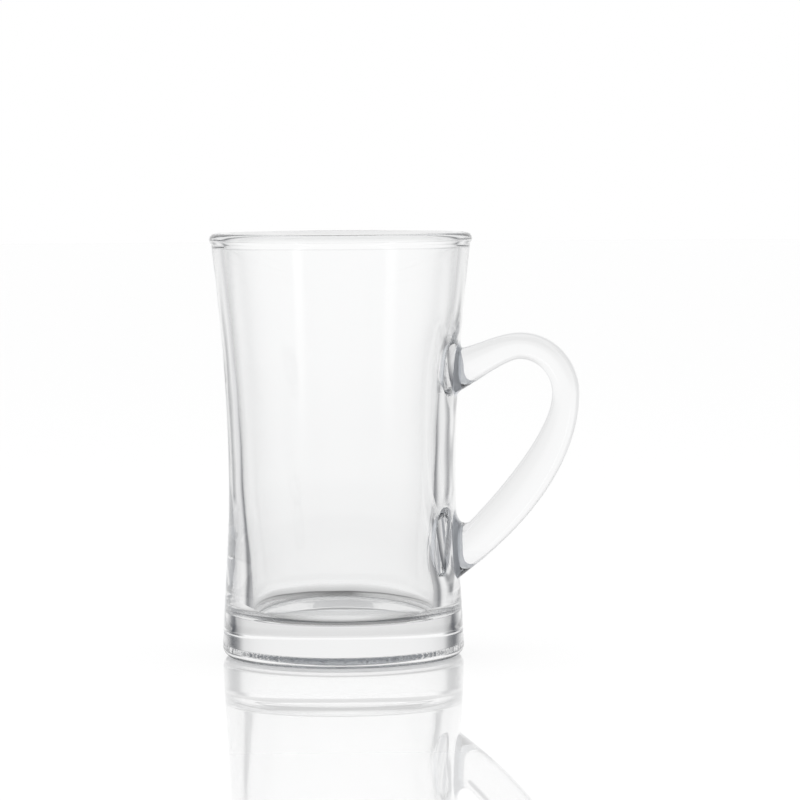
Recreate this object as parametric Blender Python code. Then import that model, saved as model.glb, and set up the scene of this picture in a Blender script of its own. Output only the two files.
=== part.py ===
"""Beer glass: a pressed, waisted glass mug with an ear-shaped handle fused to its wall at two collars.

Metres, +Z up. The origin is the middle of the underside, and the handle points along +X.
"""

import math

import bmesh
import bpy

MM = 0.001

# Bowl, outside
HEIGHT = 131.0 * MM
RIM_RADIUS = 40.05 * MM
RIM_SLOPE = 0.122
BEAD_RADIUS = 2.05 * MM
BEAD_PROUD = 0.6 * MM
WAIST_HEIGHT = 53.0 * MM
WAIST_RADIUS = 35.2 * MM
BASE_RADIUS = 37.4 * MM
BASE_SLOPE = -0.03
HEEL_RADIUS = 3.0 * MM

# Bowl, inside
WAIST_WALL = 4.65 * MM
INNER_LIP_SLOPE = 0.12
INNER_WAIST_SLOPE = 0.037
INNER_FLOOR_SLOPE = 0.05
INNER_FLOOR_RADIUS = 28.4 * MM
FLOOR_HEIGHT = 11.8 * MM
FLOOR_DISH = 0.8 * MM
FLOOR_CORNER = 4.2 * MM

# Handle: heights are over the table and distances out from the wall at the waist, a foot's from the bar's end
UPPER_ROOT_HEIGHT = 89.5 * MM
UPPER_ROOT_DEPTH = 12.5 * MM
LOWER_ROOT_HEIGHT = 33.6 * MM
LOWER_ROOT_DEPTH = 15.6 * MM
FINGER_ROOM = 30.4 * MM
HANDLE_THICKNESS = 8.1 * MM
HANDLE_WIDTH = 12.0 * MM
CREST_OUT = 20.5 * MM
CREST_RISE = 2.5 * MM
TURN_DROP = 10.5 * MM
OUTER_RISE_ANGLE = math.radians(14)
INNER_RISE_ANGLE = math.radians(30)
OUTER_FALL_ANGLE = math.radians(38)
INNER_FALL_ANGLE = math.radians(46)
FOOT_OUT = 2.8 * MM
INNER_FOOT_RISE = 0.7 * MM
INNER_FOOT_ANGLE = math.radians(-15)
SECTION_SQUARENESS = 2.8

# Share of a stretch's span over which each of its ends keeps its own direction
ROOT_PULL = 0.36
OUTER_CREST_PULL = 0.345
INNER_CREST_PULL = 0.19
QUARTER_TURN_PULL = 0.5523
OUTER_TURN_PULL = 0.32
INNER_TURN_PULL = 0.26
FALL_PULL = 0.38
FOOT_PULL = 0.4

# Fused collars
WELD_LENGTH = 2.6 * MM
UPPER_OUTER_FLARE = 1.7 * MM
UPPER_FINGER_FLARE = 2.8 * MM
LOWER_OUTER_FLARE = 2.4 * MM
LOWER_FINGER_FLARE = 4.0 * MM
WIDTH_FLARE = 1.6 * MM
FIT_GAP = 0.3 * MM

# Fineness of the faces
BOWL_STEPS = 64
SECTION_STEPS = 20
WALL_STEPS = 8
ARC_STEPS = 5
BEAD_STEPS = 4
FLOOR_STEPS = 3
OUTLINE_STEPS = 11
FOOT_STEPS = 4
COLLAR_STEPS = 5
FOOTPRINT_STEPS = 3
SMOOTH_ANGLE = math.radians(40)

# Clear soda-lime glass
GLASS_COLOUR = (0.93, 0.95, 0.95, 1.0)
COLLAR_COLOUR = (0.86, 0.89, 0.90, 1.0)
GLASS_ROUGHNESS = 0.02
GLASS_IOR = 1.52

BEAD_CENTRE_RADIUS = RIM_RADIUS + BEAD_PROUD - BEAD_RADIUS
BEAD_CENTRE_HEIGHT = HEIGHT - BEAD_RADIUS
NECK_ANGLE = math.acos((BEAD_RADIUS - BEAD_PROUD) / BEAD_RADIUS)
NECK_HEIGHT = BEAD_CENTRE_HEIGHT - BEAD_RADIUS * math.sin(NECK_ANGLE)
LIP_ANGLE = math.pi - math.atan(INNER_LIP_SLOPE)


def hermite(height, low, high):
    """Radius at a height on the cubic between two (height, radius, slope) knots."""
    span = high[0] - low[0]
    t = (height - low[0]) / span
    ease = t * t * (3 - 2 * t)
    low_bend = t * (1 - t) ** 2
    high_bend = t * t * (t - 1)
    return low[1] + (high[1] - low[1]) * ease + span * (low[2] * low_bend + high[2] * high_bend)


def outer_radius(height):
    """Outside radius of the wall between the heel and the neck under the rim bead."""
    waist = (WAIST_HEIGHT, WAIST_RADIUS, 0.0)
    if height < WAIST_HEIGHT:
        return hermite(height, (HEEL_RADIUS, BASE_RADIUS, BASE_SLOPE), waist)
    return hermite(height, waist, (NECK_HEIGHT, RIM_RADIUS, RIM_SLOPE))


def arc(centre, radius, start, end, steps):
    """Points (radius, height) on an arc, both ends included."""
    angles = [start + (end - start) * i / steps for i in range(steps + 1)]
    return [(centre[0] + radius * math.cos(a), centre[1] + radius * math.sin(a)) for a in angles]


def wall_points(low, high, steps):
    """Points (radius, height) up a wall between two knots, the two knots left out."""
    heights = [low[0] + (high[0] - low[0]) * i / steps for i in range(1, steps)]
    return [(hermite(h, low, high), h) for h in heights]


def bowl_profile():
    """Half section of the bowl, from the middle of its floor over the rim to the middle of its underside."""
    floor_edge = INNER_FLOOR_RADIUS - FLOOR_CORNER
    corner_height = FLOOR_HEIGHT + FLOOR_CORNER
    floor_shares = [i / FLOOR_STEPS for i in range(FLOOR_STEPS)]
    floor = [(floor_edge * s, FLOOR_HEIGHT - FLOOR_DISH * (1 - s * s)) for s in floor_shares]
    corner = arc((floor_edge, corner_height), FLOOR_CORNER, -math.pi / 2, 0.0, ARC_STEPS)

    bead_centre = (BEAD_CENTRE_RADIUS, BEAD_CENTRE_HEIGHT)
    bead = arc(bead_centre, BEAD_RADIUS, LIP_ANGLE, math.pi / 2, BEAD_STEPS)
    bead += arc(bead_centre, BEAD_RADIUS, math.pi / 2, 0.0, BEAD_STEPS)[1:]
    bead += arc(bead_centre, BEAD_RADIUS, 0.0, -NECK_ANGLE, BEAD_STEPS)[1:]
    inner_low = (corner_height, INNER_FLOOR_RADIUS, INNER_FLOOR_SLOPE)
    inner_waist = (WAIST_HEIGHT, WAIST_RADIUS - WAIST_WALL, INNER_WAIST_SLOPE)
    inner_top = (bead[0][1], bead[0][0], INNER_LIP_SLOPE)
    inside = wall_points(inner_low, inner_waist, WALL_STEPS // 2)
    inside += [(inner_waist[1], inner_waist[0])]
    inside += wall_points(inner_waist, inner_top, WALL_STEPS)

    steps = 2 * WALL_STEPS
    heights = [NECK_HEIGHT + (HEEL_RADIUS - NECK_HEIGHT) * i / steps for i in range(1, steps)]
    outside = [(outer_radius(h), h) for h in heights]
    heel = arc((BASE_RADIUS - HEEL_RADIUS, HEEL_RADIUS), HEEL_RADIUS, 0.0, -math.pi / 2, ARC_STEPS)
    return floor + corner + inside + bead + outside + heel + [(0.0, 0.0)]


def along(start, angle, length):
    """The point (x, z) that lies a length away from another, at an angle over the level."""
    return start[0] + length * math.cos(angle), start[1] + length * math.sin(angle)


def bezier(start, start_pull, end_pull, end, steps=OUTLINE_STEPS):
    """Points (x, z) along a cubic curve, its end left out."""
    points = []
    for i in range(steps):
        t = i / steps
        u = 1 - t
        shares = (u ** 3, 3 * u * u * t, 3 * u * t * t, t ** 3)
        knots = (start, start_pull, end_pull, end)
        points.append(tuple(sum(s * k[axis] for s, k in zip(shares, knots)) for axis in (0, 1)))
    return points


def outline(upper, rise_angle, crest, crest_pull, turn, turn_pull, foot, fall_angle, lower, foot_angle):
    """One edge of the handle in the XZ plane, from the upper root over the crest and the turn to its foot."""
    rise = math.dist(upper, crest)
    fall = math.dist(turn, foot)
    last = math.dist(foot, lower)
    across = turn[0] - crest[0]
    drop = crest[1] - turn[1]
    points = bezier(
        upper,
        along(upper, rise_angle, ROOT_PULL * rise),
        (crest[0] - crest_pull * rise, crest[1]),
        crest,
    )
    points += bezier(
        crest,
        (crest[0] + QUARTER_TURN_PULL * across, crest[1]),
        (turn[0], turn[1] + QUARTER_TURN_PULL * drop),
        turn,
    )
    points += bezier(
        turn,
        (turn[0], turn[1] - turn_pull * fall),
        along(foot, fall_angle, FALL_PULL * fall),
        foot,
    )
    points += bezier(
        foot,
        along(foot, fall_angle, -FOOT_PULL * last),
        along(lower, foot_angle, FOOT_PULL * last),
        lower,
        FOOT_STEPS,
    )
    return points + [lower]


def end_plane(root_height):
    """Distance from the axis at which the handle bar ends, in front of the wall at that height."""
    return outer_radius(root_height) + WELD_LENGTH


def handle_edges():
    """The handle's outer and inner edges, point for point."""
    upper_x = end_plane(UPPER_ROOT_HEIGHT)
    lower_x = end_plane(LOWER_ROOT_HEIGHT)
    crest_x = WAIST_RADIUS + CREST_OUT
    crest_z = UPPER_ROOT_HEIGHT + CREST_RISE
    turn_x = WAIST_RADIUS + FINGER_ROOM
    turn_z = crest_z - TURN_DROP
    outer_end = (lower_x, LOWER_ROOT_HEIGHT - LOWER_ROOT_DEPTH / 2)
    inner_end = (lower_x, LOWER_ROOT_HEIGHT + LOWER_ROOT_DEPTH / 2)
    outer = outline(
        (upper_x, UPPER_ROOT_HEIGHT + UPPER_ROOT_DEPTH / 2),
        OUTER_RISE_ANGLE,
        (crest_x, crest_z + HANDLE_THICKNESS),
        OUTER_CREST_PULL,
        (turn_x + HANDLE_THICKNESS, turn_z),
        OUTER_TURN_PULL,
        along(outer_end, OUTER_FALL_ANGLE, FOOT_OUT / math.cos(OUTER_FALL_ANGLE)),
        OUTER_FALL_ANGLE,
        outer_end,
        OUTER_FALL_ANGLE,
    )
    inner = outline(
        (upper_x, UPPER_ROOT_HEIGHT - UPPER_ROOT_DEPTH / 2),
        INNER_RISE_ANGLE,
        (crest_x, crest_z),
        INNER_CREST_PULL,
        (turn_x, turn_z),
        INNER_TURN_PULL,
        (lower_x + FOOT_OUT, inner_end[1] + INNER_FOOT_RISE),
        INNER_FALL_ANGLE,
        inner_end,
        INNER_FOOT_ANGLE,
    )
    return outer, inner


def rounded(value):
    """Share of a half size at a given sine or cosine on the rounded rectangular section."""
    return math.copysign(abs(value) ** (2 / SECTION_SQUARENESS), value)


def section_shares():
    """(towards the outer edge, towards +Y) shares of the half sizes, once round the section."""
    angles = [2 * math.pi * i / SECTION_STEPS for i in range(SECTION_STEPS)]
    return [(rounded(math.cos(a)), rounded(math.sin(a))) for a in angles]


def handle_rings():
    """Sections of the handle bar from its upper end to its lower end."""
    rings = []
    for far, near in zip(*handle_edges()):
        middle_x, middle_z = (far[0] + near[0]) / 2, (far[1] + near[1]) / 2
        half_x, half_z = (far[0] - near[0]) / 2, (far[1] - near[1]) / 2
        rings.append(
            [
                (middle_x + half_x * out, HANDLE_WIDTH / 2 * side, middle_z + half_z * out)
                for out, side in section_shares()
            ]
        )
    return rings


def weld_rings(root_height, root_depth, outer_flare, finger_flare, outward):
    """Sections of a collar from the middle of its footprint on the wall, out to the handle's end.

    outward is +1 where the handle's outer edge is the upper one, and -1 where it is the lower one.
    """
    half_depth = root_depth / 2
    end_x = end_plane(root_height) - FIT_GAP

    def wall_x(y, z):
        return math.sqrt((outer_radius(z) + FIT_GAP) ** 2 - y * y)

    def flared(out, side, flare):
        depth_flare = outer_flare if out > 0 else finger_flare
        y = (HANDLE_WIDTH / 2 + flare * WIDTH_FLARE) * side
        z = root_height + outward * (half_depth + flare * depth_flare) * out
        return y, z

    footprint = [flared(out, side, 1.0) for out, side in section_shares()]
    rings = []
    for i in range(1, FOOTPRINT_STEPS + 1):
        share = i / FOOTPRINT_STEPS
        points = [(y * share, root_height + (z - root_height) * share) for y, z in footprint]
        rings.append([(wall_x(y, z), y, z) for y, z in points])
    for i in range(1, COLLAR_STEPS + 1):
        share = i / COLLAR_STEPS
        points = [flared(out, side, (1 - share) ** 2) for out, side in section_shares()]
        rings.append([(wall_x(y, z) + (end_x - wall_x(y, z)) * share, y, z) for y, z in points])
    return (wall_x(0.0, root_height), 0.0, root_height), rings


def glass(name, colour):
    """Clear glass with the given tint."""
    material = bpy.data.materials.new(name)
    material.use_nodes = True
    shader = material.node_tree.nodes["Principled BSDF"]
    shader.inputs["Base Color"].default_value = colour
    shader.inputs["Roughness"].default_value = GLASS_ROUGHNESS
    shader.inputs["Metallic"].default_value = 0.0
    shader.inputs["IOR"].default_value = GLASS_IOR
    shader.inputs["Transmission Weight"].default_value = 1.0
    material.diffuse_color = colour
    return material


def add_piece(name, mesh, material, parent):
    """A named object for one piece of glass."""
    piece = bpy.data.objects.new(name, mesh)
    mesh.materials.append(material)
    piece.parent = parent
    bpy.context.scene.collection.objects.link(piece)
    return piece


def make_bowl(parent):
    """The pressed bowl, turned from its half section."""
    mesh = bpy.data.meshes.new("bowl")
    points = bowl_profile()
    edges = [(i, i + 1) for i in range(len(points) - 1)]
    mesh.from_pydata([(r, 0.0, z) for r, z in points], edges, [])
    piece = add_piece("bowl", mesh, glass("bowl_glass", GLASS_COLOUR), parent)
    turn = piece.modifiers.new("turn", "SCREW")
    turn.axis = "Z"
    turn.angle = 2 * math.pi
    turn.steps = BOWL_STEPS
    turn.render_steps = BOWL_STEPS
    turn.use_merge_vertices = True
    turn.merge_threshold = 0.00001
    turn.use_smooth_shade = True
    return piece


def skin(name, rings, middle=None):
    """Closed mesh over a row of like rings; its first ring closes on a middle point where one is given."""
    form = bmesh.new()
    loops = [[form.verts.new(point) for point in ring] for ring in rings]
    for ring, following in zip(loops, loops[1:]):
        for i, corner in enumerate(ring):
            j = (i + 1) % len(ring)
            form.faces.new((corner, ring[j], following[j], following[i]))
    if middle is None:
        form.faces.new(loops[0])
    else:
        centre = form.verts.new(middle)
        for i, corner in enumerate(loops[0]):
            form.faces.new((corner, loops[0][(i + 1) % len(loops[0])], centre))
    form.faces.new(loops[-1])
    bmesh.ops.recalc_face_normals(form, faces=form.faces)
    mesh = bpy.data.meshes.new(name)
    form.to_mesh(mesh)
    form.free()
    mesh.shade_smooth()
    mesh.set_sharp_from_angle(angle=SMOOTH_ANGLE)
    return mesh


def make_handle(parent):
    """The ear-shaped bar, from one collar to the other."""
    return add_piece("handle", skin("handle", handle_rings()), glass("handle_glass", GLASS_COLOUR), parent)


def make_welds(parent):
    """The two flared collars of fused glass between the handle's ends and the wall."""
    roots = (
        ("upper_handle_weld", UPPER_ROOT_HEIGHT, UPPER_ROOT_DEPTH, UPPER_OUTER_FLARE, UPPER_FINGER_FLARE, 1),
        ("lower_handle_weld", LOWER_ROOT_HEIGHT, LOWER_ROOT_DEPTH, LOWER_OUTER_FLARE, LOWER_FINGER_FLARE, -1),
    )
    for name, *root in roots:
        middle, rings = weld_rings(*root)
        add_piece(name, skin(name, rings, middle), glass(name + "_glass", COLLAR_COLOUR), parent)


def main():
    for obj in list(bpy.data.objects):
        bpy.data.objects.remove(obj)
    mug = bpy.data.objects.new("mug_origin", None)
    bpy.context.scene.collection.objects.link(mug)
    make_bowl(mug)
    make_handle(mug)
    make_welds(mug)


main()
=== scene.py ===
"""Beer glass: the finished look of a clear pressed mug with an ear-shaped handle fused to its wall.

Metres, +Z up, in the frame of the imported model. The handle points along +X.
"""

import math

import bpy
import numpy as np
from bpy.props import FloatProperty, FloatVectorProperty, PointerProperty
from bpy.types import Operator, Panel, PropertyGroup
from mathutils import Matrix, Vector


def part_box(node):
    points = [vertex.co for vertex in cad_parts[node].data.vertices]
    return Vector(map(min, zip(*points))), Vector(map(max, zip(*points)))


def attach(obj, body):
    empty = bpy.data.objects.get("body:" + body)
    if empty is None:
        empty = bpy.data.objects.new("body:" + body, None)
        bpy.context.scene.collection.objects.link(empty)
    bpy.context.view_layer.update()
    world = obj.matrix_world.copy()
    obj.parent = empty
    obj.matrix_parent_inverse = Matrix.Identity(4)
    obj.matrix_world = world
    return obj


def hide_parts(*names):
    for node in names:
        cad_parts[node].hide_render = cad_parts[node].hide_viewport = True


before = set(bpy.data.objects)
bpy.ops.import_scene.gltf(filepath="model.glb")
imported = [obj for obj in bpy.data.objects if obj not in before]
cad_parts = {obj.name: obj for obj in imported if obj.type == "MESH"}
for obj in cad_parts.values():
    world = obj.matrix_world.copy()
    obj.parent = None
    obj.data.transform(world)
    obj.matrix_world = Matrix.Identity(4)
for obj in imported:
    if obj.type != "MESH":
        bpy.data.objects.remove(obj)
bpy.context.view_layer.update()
BOWL_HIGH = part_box("bowl")[1]
HANDLE_LOW, HANDLE_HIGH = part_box("handle")

bl_info = {
    "name": "Beer Glass",
    "version": (1, 0, 0),
    "blender": (4, 5, 0),
    "location": "3D View > Sidebar > Beer Glass",
    "description": "Builds a clear glass mug with a fused handle, and the stage it stands on",
    "category": "Add Mesh",
}

MM = 0.001
BODY = "root"

# Fineness of the meshes. A window is the patch of the bowl's wall fitted round a root of the handle.
# A loop of the handle has as many points as a window has on its edge
BOWL_COLUMNS = 256
WINDOW_CELLS = 24
WINDOW_MARGIN = 3.0 * MM
LOOP_POINTS = 4 * WINDOW_CELLS
WINDOW_RINGS = 7
CAP_SHARES = (0.75, 0.5, 0.25)
FILLET_RINGS = 14
HANDLE_RINGS = 40
FOOT_RINGS = 10
LANDING_STEPS = 12
WALL_ROWS = 22
ARC_ROWS = 12
EDGE_ROWS = 6
HEEL_STIPPLE_ROWS = 6
FLOOR_ROWS = 10
TABLE_STEPS = 96

# Material slots of every piece
GLASS, FUSED, STIPPLED_SHADED = 0, 1, 2

# Pressed waves inside the wall: (share of the height, waves round the bowl, radians a metre, start).
# They fade away towards the floor's corner and towards RIPPLE_BELOW_RIM bead radii under the top
RIPPLES = ((1.0, 9, 130, 0.0), (0.7, 17, -310, 1.3), (0.5, 5, 720, 0.4))
RIPPLE_FADE_LOW = 8 * MM
RIPPLE_FADE_HIGH = 12 * MM
RIPPLE_BELOW_RIM = 6

# Bends of the seam between the roots: (size, radians a metre, start)
SEAM_BENDS = ((0.8 * MM, 330, 0.0), (0.5 * MM, 790, 1.0))

# Finish of the glass. Waves and pits in a skin are (size, height)
GLASS_IOR = 1.52
BOWL_WAVES = (16 * MM, 0.03 * MM)
HANDLE_WAVES = (14 * MM, 0.05 * MM)
WELD_WAVES = (6 * MM, 0.03 * MM)
# The collars pass only this share of light; the rest shows their tint as painted shade
WELD_CLEARNESS = 0.6
RING_PITS = (1.3 * MM, 0.35 * MM)
RING_ROUGHNESS = 0.16
MARKS_SCALE = 90.0
MARKS_LOW, MARKS_HIGH = 0.62, 0.8
MARKS_ROUGHNESS = 0.012
DENSITY_SCALE = 24.0
DENSITY_SPREAD = 0.7

# Where the painted shade at the bar's edges starts: (how far the skin turns away, share)
EDGE_SHADE_STOPS = ((0.6, 0), (0.8, 1))

# The studio as the glass shows it: (degrees, share). Bearings count from straight behind the glass, to
# either side unless they are signed, heights from the level. First the room: backdrop, table, ceiling
BACKDROP = (
    (0, 0.9), (24, 0.88), (31, 0.85), (36, 0.81), (40, 0.755), (44, 0.7), (46, 0.59), (48, 0.43),
    (50, 0.25), (53, 0.12), (58, 0.015), (63, 0.035), (68, 0.22), (80, 0.5), (100, 0.8), (120, 0.9),
    (180, 0.9),
)
TABLE_TOP = (
    (0, 0.9), (32, 0.9), (36, 0.87), (39, 0.8), (41, 0.68), (43, 0.46), (45, 0.24), (47, 0.12), (49, 0.16),
    (52, 0.3), (57, 0.46), (66, 0.46), (80, 0.6), (100, 0.85), (180, 0.9),
)
TABLE_TOP_HEIGHT = ((-6, 1), (-1, 0))
CEILING = ((0, 0.86), (80, 0.84), (105, 0.2), (180, 0.16))
CEILING_HEIGHT = ((34, 0), (50, 1))
ZENITH = ((54, 0), (66, 1))
ZENITH_GREY = (0.3, 0.3, 0.3, 1.0)

# For light that passes straight through: the white behind the glass, and dark cards that one solid shows
BEHIND = ((-20, 0.88), (-8, 0.93), (-4.5, 0.985), (-1, 1.0), (20, 1.0), (40, 0.7))
CARD = ((43, 0), (46, 0.35), (50, 0.75), (58, 1), (63, 0.95), (70, 0.6), (80, 0))
CARD_HEIGHT = ((-14, 0), (-12, 1), (5, 1), (8, 0))

# For light that turned once inside a wall: dark flags
FLAG = ((12, 0), (16.5, 0.72), (20.5, 0.78), (25, 0.45), (31, 0))
FLAG_HEIGHT = ((-14, 0), (-11, 1), (-6, 1), (-2, 0.3), (0, 0))

# For light that never entered the glass: white cards. For light mirrored once: bright strips
MIRRORED_WHITE = ((24, 1), (34, 0), (58, 0), (68, 0.9), (90, 0.9), (110, 0))
STRIPS = ((-147, 0), (-141.5, 1.4), (-138, 1.4), (-134, 0), (125, 0), (131, 1.1), (136, 1.1), (141, 0))
STRIP_HEIGHT = ((-18, 1), (-14, 0.9), (-6, 0))

# For light that bounced often, and for light that is all but caught in the glass: one grey each
MANY_BOUNCES = 2.5
SCATTERED = (0.8, 0.8, 0.8, 1.0)
CAUGHT_BOUNCES = 9.5
CAUGHT = (0.38, 0.39, 0.41, 1.0)

# The table as the glass shows it, where its glow holds a painted shadow: (millimetres from the axis, share
# of white). It is darkest round the foot ring and, over a short way across, right behind it. Straight
# through the base it has a painted shade of its own
TABLE_SHADE = (
    (0, 0.8), (8, 0.76), (14, 0.5), (21, 0.28), (36, 0.24), (38, 0.4), (43, 0.5), (45, 0.12), (46.5, 0.12),
    (48, 0.5), (60, 0.68), (70, 0.88), (110, 0.92),
)
BEHIND_SHADE = (
    (0, 0.8), (8, 0.76), (14, 0.5), (21, 0.28), (34, 0.2), (37, 0.04), (46, 0.02), (47.5, 0.5), (60, 0.68),
    (70, 0.88), (110, 0.92),
)
BASE_SHADE = ((48.5, 0.5), (52, 0.62), (62, 0.68), (75, 0.7), (95, 0.85), (110, 0.93))
BEHIND_ACROSS = ((-30, 0.15), (-20, 0.5), (-10, 0.75), (-4, 1), (3, 1), (8, 0.3), (13, 0))
MIRRORED_BOUNCES = 1.5
MIRRORED_TABLE = 0.4

# Where the table lets light pass to the studio, in millimetres from the axis: past TABLE_EDGE, or for light
# straight through the base past CLEAR_TABLE, on either side of a wedge. The wedge's half width is
# WEDGE_SPREAD times the distance, less WEDGE_CUT
TABLE_EDGE = 70.0
CLEAR_TABLE = 48.5
WEDGE_SPREAD = 1.2
WEDGE_CUT = 50.0
WEDGE_EDGE = ((-1.5, 0), (1.5, 1))

# The stage: a shaded table that only the glass shows, a white floor that only the camera sees, and one lamp
WHITE = (1.0, 1.0, 1.0, 1.0)
POLISH_IOR = 1.47
TABLE_RADIUS, TABLE_DROP, TABLE_LIT = 110 * MM, 0.06 * MM, 0.08
FLOOR_RADIUS, FLOOR_DROP, FLOOR_LIT = 6.0, 0.05 * MM, 0.25
SOFTBOX_PLACE, SOFTBOX_AIM = (0.0, 0.0, 1.2), (0.0, 0.0, 0.0)
SOFTBOX_SIDE, SOFTBOX_STRENGTH = 0.8, 2.0
CLIP_START, CLIP_END = 0.05, 50.0
ALL_BOUNCES, GLASS_BOUNCES, CLEAR_BOUNCES = 64, 48, 32


def length(name, description, millimetres):
    """A size that a user may change."""
    return FloatProperty(
        name=name,
        description=description,
        default=millimetres * MM,
        precision=5,
        subtype="DISTANCE",
        unit="LENGTH",
    )


def slope(name, description, default):
    """A slope, as radius over height."""
    return FloatProperty(name=name, description=description, default=default, precision=3)


def angle(name, description, degrees):
    """An angle that a user may change."""
    return FloatProperty(
        name=name, description=description, default=math.radians(degrees), subtype="ANGLE", unit="ROTATION"
    )


def share(name, description, default):
    """A share of some other size."""
    return FloatProperty(name=name, description=description, default=default, precision=3, subtype="FACTOR")


def colour(name, description, default):
    """A colour that a user may change."""
    return FloatVectorProperty(
        name=name, description=description, default=default, size=3, min=0.0, max=1.0, subtype="COLOR"
    )


class BEERGLASS_PG_bowl(PropertyGroup):
    """Sizes of the pressed bowl."""

    height: length("Height", "From the underside to the top of the rim", BOWL_HIGH.z / MM)
    rim_reach: length("Rim reach", "Outside radius of the rim bead", BOWL_HIGH.x / MM)
    rim_slope: slope("Rim slope", "How fast the outside flares under the rim", 0.122)
    bead_radius: length("Bead radius", "Radius of the rounded rim", 2.05)
    bead_proud: length("Bead proud", "How far the bead stands out from the wall", 0.6)
    waist_height: length("Waist height", "Height of the narrowest place", 53.0)
    waist_radius: length("Waist radius", "Outside radius of the narrowest place", 35.2)
    base_radius: length("Base radius", "Outside radius over the heel", 37.4)
    base_slope: slope("Base slope", "How fast the outside draws in over the heel", -0.03)
    heel_radius: length("Heel radius", "Rounding of the bottom edge", 3.0)
    waist_wall: length("Waist wall", "Thickness of the wall at the waist", 4.35)
    inner_lip_slope: slope("Inner lip slope", "How fast the inside flares at the lip", 0.07)
    inner_waist_slope: slope("Inner waist slope", "How fast the inside flares at the waist", 0.024)
    inner_floor_slope: slope("Inner floor slope", "How fast the inside flares over the floor", 0.05)
    inner_floor_radius: length("Inner floor radius", "Inside radius over the floor's corner", 28.4)
    floor_thickness: length("Floor thickness", "Height of the edge of the floor", 11.8)
    floor_dish: length("Floor dish", "How much lower the middle of the floor lies", 0.8)
    floor_corner: length("Floor corner", "Rounding between the floor and the wall", 4.2)
    ring_width: length("Ring width", "Foot ring that stands on the table, from the heel to the recess", 6.0)
    recess_depth: length("Recess depth", "How high the underside lies inside the foot ring", 2.75)
    recess_draft: length("Recess draft", "Level run of the foot ring's inner side", 0.4)
    recess_round: length("Recess round", "Rounding of the foot ring's inner edges", 0.4)
    ripple: length("Ripple", "Height of the pressed waves on the inside of the wall", 0.006)
    root_dent: length("Root dent", "How far the inside swells in behind a fused root", 0.5)
    root_dent_width: length("Root dent width", "Half width of the swelling behind a root", 5.0)
    root_dent_height: length("Root dent height", "Half height of the swelling behind a root", 7.0)
    swell: length("Swell", "How much the wall is thicker behind the handle, on the inside", 1.0)
    swell_width: length("Swell width", "Half width of that thicker strip", 20.0)
    swell_past: length("Swell past", "How far that strip reaches past the middles of the roots", 20.0)
    seam_rise: length("Seam rise", "Height of the wavy seam between the roots, on the inside", 0.02)
    seam_width: length("Seam width", "Half width of that seam", 2.5)


class BEERGLASS_PG_handle(PropertyGroup):
    """Sizes of the handle and of the collars that fuse it to the wall."""

    reach: length("Reach", "From the bowl's axis to the handle's outermost point", HANDLE_HIGH.x / MM)
    top: length("Top", "Height of the handle's crest", HANDLE_HIGH.z / MM)
    width: length("Width", "Across the bar, from side to side", (HANDLE_HIGH.y - HANDLE_LOW.y) / MM)
    thickness: length("Thickness", "Of the bar, from its outer to its inner edge", 8.1)
    upper_root_height: length("Upper root height", "Middle of the upper root", 89.05)
    upper_root_depth: length("Upper root depth", "Height of the bar's upper end", 12.86)
    lower_root_height: length("Lower root height", "Middle of the lower root", 33.17)
    lower_root_depth: length("Lower root depth", "Height of the bar's lower end", 16.46)
    crest_out: length("Crest out", "From the wall at the waist to the crest", 20.5)
    turn_drop: length("Turn drop", "From the inner crest down to the inner turn", 10.5)
    outer_rise: angle("Outer rise", "Rise of the outer edge at the upper root", 14)
    inner_rise: angle("Inner rise", "Rise of the inner edge at the upper root", 30)
    outer_fall: angle("Outer fall", "Fall of the outer edge to the lower root", 38)
    inner_fall: angle("Inner fall", "Fall of the inner edge to its foot", 46)
    foot_out: length("Foot out", "From the bar's lower end to where its foot starts", 2.8)
    inner_foot_rise: length("Inner foot rise", "How far the inner edge's foot falls", 0.7)
    inner_foot: angle("Inner foot", "Fall of the inner edge at its end, negative where it rises", -15)
    squareness: FloatProperty(
        name="Squareness", description="2 is an oval bar, more is squarer", default=2.8, min=2.0
    )
    root_pull: share("Root pull", "How long each edge keeps its direction from the upper root", 0.36)
    outer_crest_pull: share("Outer crest pull", "How long the outer edge is level before the crest", 0.345)
    inner_crest_pull: share("Inner crest pull", "How long the inner edge is level before the crest", 0.19)
    quarter_pull: share("Quarter pull", "Roundness between the crest and the turn", 0.5523)
    outer_turn_pull: share("Outer turn pull", "How long the outer edge is upright below the turn", 0.32)
    inner_turn_pull: share("Inner turn pull", "How long the inner edge is upright below the turn", 0.21)
    fall_pull: share("Fall pull", "How long each edge keeps its direction into its foot", 0.38)
    foot_pull: share("Foot pull", "How long a foot keeps its direction at either end", 0.4)
    weld_length: length("Weld length", "From the wall to the end of the bar", 1.5)
    upper_outer_fillet: length("Upper outer fillet", "Upper collar's reach past the outer edge", 2.3)
    upper_finger_fillet: length("Upper finger fillet", "Upper collar's reach past the inner edge", 1.3)
    lower_outer_fillet: length("Lower outer fillet", "Lower collar's reach past the outer edge", 0.2)
    lower_finger_fillet: length("Lower finger fillet", "Lower collar's reach past the inner edge", 3.4)
    side_fillet: length("Side fillet", "How far a collar passes the bar's sides", 0.5)


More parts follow.
